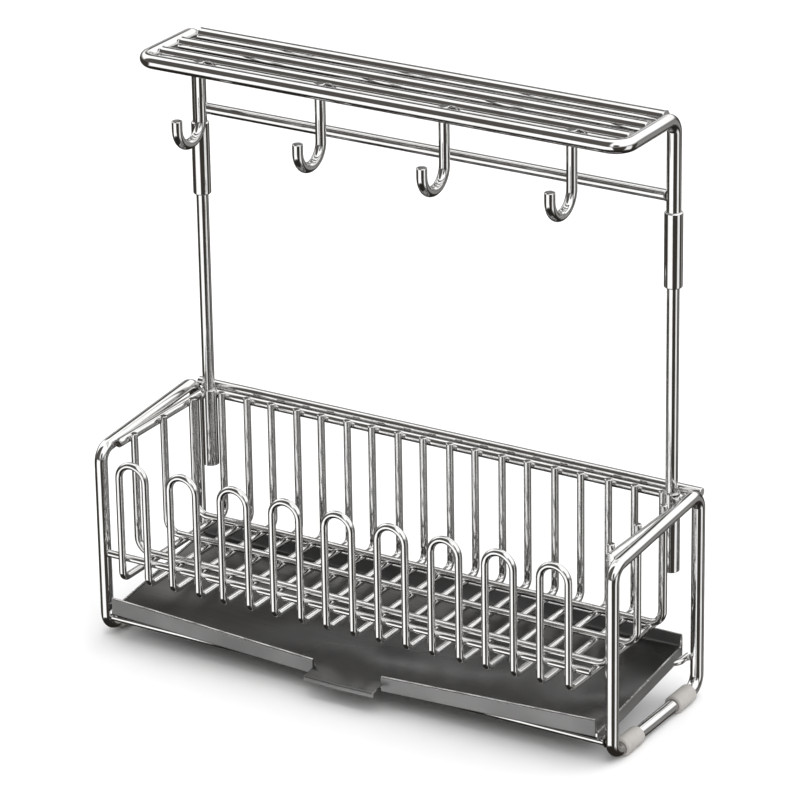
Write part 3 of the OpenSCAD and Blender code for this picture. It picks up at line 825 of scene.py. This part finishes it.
# a piece that isn't named here is steel or, where it is a foot, silicone
finishesOf = {"basketWelds": [welded], "shelfWelds": [welded], "leftTrayLip": [fold, cutEdge],
              "rightTrayLip": [fold, cutEdge], "dripTray": [sheet, cutEdge, fold, cutEdge]}
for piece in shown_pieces():
    usual = [silicone] if piece.name.endswith("Foot") else [steel]
    if piece.name.startswith("hook"):
        usual.append(sawn)
    finishes = finishesOf.get(piece.name, usual)
    piece.data.materials.clear()
    for finish in finishes:
        piece.data.materials.append(finish)
    if sawn in finishes:
        mark(piece, 1, lambda place, normal: place.z > hook["topZ"] - marked["sawn"])
# a lip's upward faces on its round crest take the bright edge finish: a painted highlight along
# the lip's top
for lip in trayLips:
    mark(lip, 1, lambda place, normal: normal.z > marked["crest"])
# the end walls, the rear wall and the spout's fold take the lighter copy of the sheet: painted
# light on its upright faces
mark(dripTray, 2, lambda place, normal: abs(normal.x) > marked["wall"])
rearWall = tray["rearY"] - tray["sheet"]
mark(dripTray, 2, lambda place, normal: place.y > rearWall and abs(normal.y) > marked["wall"])
spoutFront = tray["lipY"] - tray["spout"] + tray["sheet"]
mark(dripTray, 2,
     lambda place, normal: place.y < spoutFront and abs(normal.y) > marked["fold"])
print("finishes made")


studio = {"yaw": 31.74, "pitch": 22.51, "roll": -0.93, "distance": 2439.13,
          "target": (3.99, 3.75, 152.01), "focal": 4710.84, "frame": 800, "sensor": 36.0,
          "farthest": 60, "floorHalf": 7, "domeRadius": 8, "middle": (0, 0, 0.15)}
softboxes = {"keySoftbox": {"place": (-1.6, -1.5, 1.9), "size": (1.6, 1.6), "watts": 12},
             "rimSoftbox": {"place": (1.4, 1.6, 1.7), "size": (1.2, 1.6), "watts": 7},
             "topSoftbox": {"place": (0.1, -0.2, 2.4), "size": (1.6, 1.6), "watts": 10}}
# how bright the parts of the room are that the rods and the tray mirror
softRoom = {"strength": 1.5, "deep": 0.035, "low": 0.08, "overhead": 0.92, "front": 1.0,
            "side": 0.9, "ahead": 0.19, "behind": 0.45, "spot": 0.12,
            "toCamera": (0.486, -0.786, 0.383), "toTray": (-0.506, 0.665, 0.55)}


def addCamera():
    # the photograph's view, from its direction, distance and turn
    yaw, pitch, roll = np.radians([studio["yaw"], studio["pitch"], studio["roll"]])
    look = np.array([-math.sin(yaw) * math.cos(pitch), math.cos(yaw) * math.cos(pitch),
                     -math.sin(pitch)])
    right = np.array([math.cos(yaw), math.sin(yaw), 0])
    up = np.cross(right, look)
    turnedRight = right * math.cos(roll) + up * math.sin(roll)
    turnedUp = -right * math.sin(roll) + up * math.cos(roll)
    place = (np.array(studio["target"]) - look * studio["distance"]) * mm
    lens = bpy.data.cameras.new("photoCamera")
    lens.sensor_width = studio["sensor"]
    lens.lens = studio["focal"] / studio["frame"] * studio["sensor"]
    lens.clip_end = studio["farthest"]
    camera = bpy.data.objects.new("photoCamera", lens)
    columns = np.stack([turnedRight, turnedUp, -look, place], 1)
    camera.matrix_world = Matrix(np.vstack([columns, [0, 0, 0, 1]]).tolist())
    bpy.context.scene.collection.objects.link(camera)
    bpy.context.scene.camera = camera


def addLight(name, softbox):
    # a lamp that faces the rack's middle: its back points away from there, its right is
    # level, and its up is square to both
    lamp = bpy.data.lights.new(name, "AREA")
    lamp.shape = "RECTANGLE"
    lamp.size, lamp.size_y = softbox["size"]
    lamp.energy = softbox["watts"]
    thing = bpy.data.objects.new(name, lamp)
    bpy.context.scene.collection.objects.link(thing)
    centre = np.array(softbox["place"], float)
    back = centre - np.array(studio["middle"], float)
    back /= np.linalg.norm(back)
    right = np.cross([0, 0, 1], back)
    right = right / np.linalg.norm(right)
    up = np.cross(back, right)
    columns = np.stack([right, up, back, centre], 1)
    thing.matrix_world = Matrix(np.vstack([columns, [0, 0, 0, 1]]).tolist())
    thing.visible_glossy = False


def addFloor():
    # a plain pale counter that catches the rack's shadow
    mesh = bpy.data.meshes.new("counter")
    half = studio["floorHalf"]
    corners = [(-half, -half, 0), (half, -half, 0), (half, half, 0), (-half, half, 0)]
    mesh.from_pydata(corners, [], [(0, 1, 2, 3)])
    floor = bpy.data.objects.new("counter", mesh)
    bpy.context.scene.collection.objects.link(floor)
    finish = Finish("counterPaint")
    finish.surface({"Base Color": grey(0.93), "Roughness": 0.6, "Specular IOR Level": 0.2})
    mesh.materials.append(finish.material)
    floor.visible_glossy = False    # the rods mirror the room below the horizon instead


def addBackdrop():
    # a plain pale dome that only the camera sees
    work = bmesh.new()
    bmesh.ops.create_uvsphere(work, u_segments=48, v_segments=24,
                              radius=studio["domeRadius"])
    mesh = bpy.data.meshes.new("backdrop")
    work.to_mesh(mesh)
    work.free()
    dome = bpy.data.objects.new("backdrop", mesh)
    bpy.context.scene.collection.objects.link(dome)
    finish = Finish("backdropPaint")
    finish.surface({"Base Color": grey(0.0), "Specular IOR Level": 0.0,
                    "Emission Color": grey(1.0), "Emission Strength": 1.0})
    mesh.materials.append(finish.material)
    dome.visible_diffuse = dome.visible_glossy = dome.visible_shadow = False


def addWorld():
    # bright overhead and all round above the horizon, but darker ahead on the left, with a
    # small dark spot towards the camera and one that the tray's floor mirrors; below the
    # horizon bright in front and at the right side, dim behind on the right, else dark;
    # a patch's mask is the product of ramps along the way looked at
    world = bpy.data.worlds.new("softRoom")
    bpy.context.scene.world = world
    world.use_nodes = True
    room = Board(world.node_tree)
    way = room.add("ShaderNodeTexCoord")
    x, y, z = (room.add("ShaderNodeSeparateXYZ", None, {0: way}, i) for i in range(3))

    def above(signal, low, high):
        return room.span(signal, low, high, 0, 1)

    def below(signal, low, high):
        return room.span(signal, low, high, 1, 0)

    def towards(way):
        return x * way[0] + y * way[1] + z * way[2]

    def patch(under, mask, level):
        return under + mask * (level - under)

    low = below(z, 0.0, 0.05)
    level = room.span(z, -0.75, -0.5, softRoom["deep"], softRoom["low"]) \
        + room.span(z, -0.03, 0.3, 0.0, softRoom["overhead"])
    front = above(x, -0.74, -0.62) * below(x, 0.22, 0.3) * below(y, -0.2, -0.1)
    level = patch(level, front * above(z, -0.7, -0.6) * low, softRoom["front"])
    side = above(x, 0.5, 0.62) * above(y, -0.3, -0.2) * below(y, 0.22, 0.32)
    level = patch(level, side * above(z, -0.8, -0.6) * low, softRoom["side"])
    ahead = below(y, -0.3, -0.2) * above(z, 0.03, 0.07) * below(x, -0.05, 0.1)
    level = patch(level, ahead, softRoom["ahead"])
    cameraSpot = above(towards(softRoom["toCamera"]), 0.965, 0.98)
    level = patch(level, cameraSpot, softRoom["spot"])
    traySpot = above(towards(softRoom["toTray"]), 0.95, 0.985)
    level = patch(level, traySpot, softRoom["spot"])
    behind = above(x, 0.25, 0.35) * below(x, 0.62, 0.72) * above(y, 0.55, 0.65)
    level = patch(level, behind * above(z, -0.6, -0.5) * low, softRoom["behind"])
    colour = room.ramp(level, [(0.0, grey(0.004)), (0.07, grey(0.03, 0.13)),
                               (0.35, grey(0.13, 0.05)), (0.7, grey(0.42)), (1.0, grey(1.0))])
    glow = room.add("ShaderNodeBackground", None, {
        "Color": colour, "Strength": softRoom["strength"]})
    room.add("ShaderNodeOutputWorld", None, {"Surface": glow})


bpy.context.scene.view_settings.view_transform = "Standard"    # whites stay white
addCamera()
addFloor()
addBackdrop()
addWorld()
for name, softbox in softboxes.items():
    addLight(name, softbox)
print("studio made")
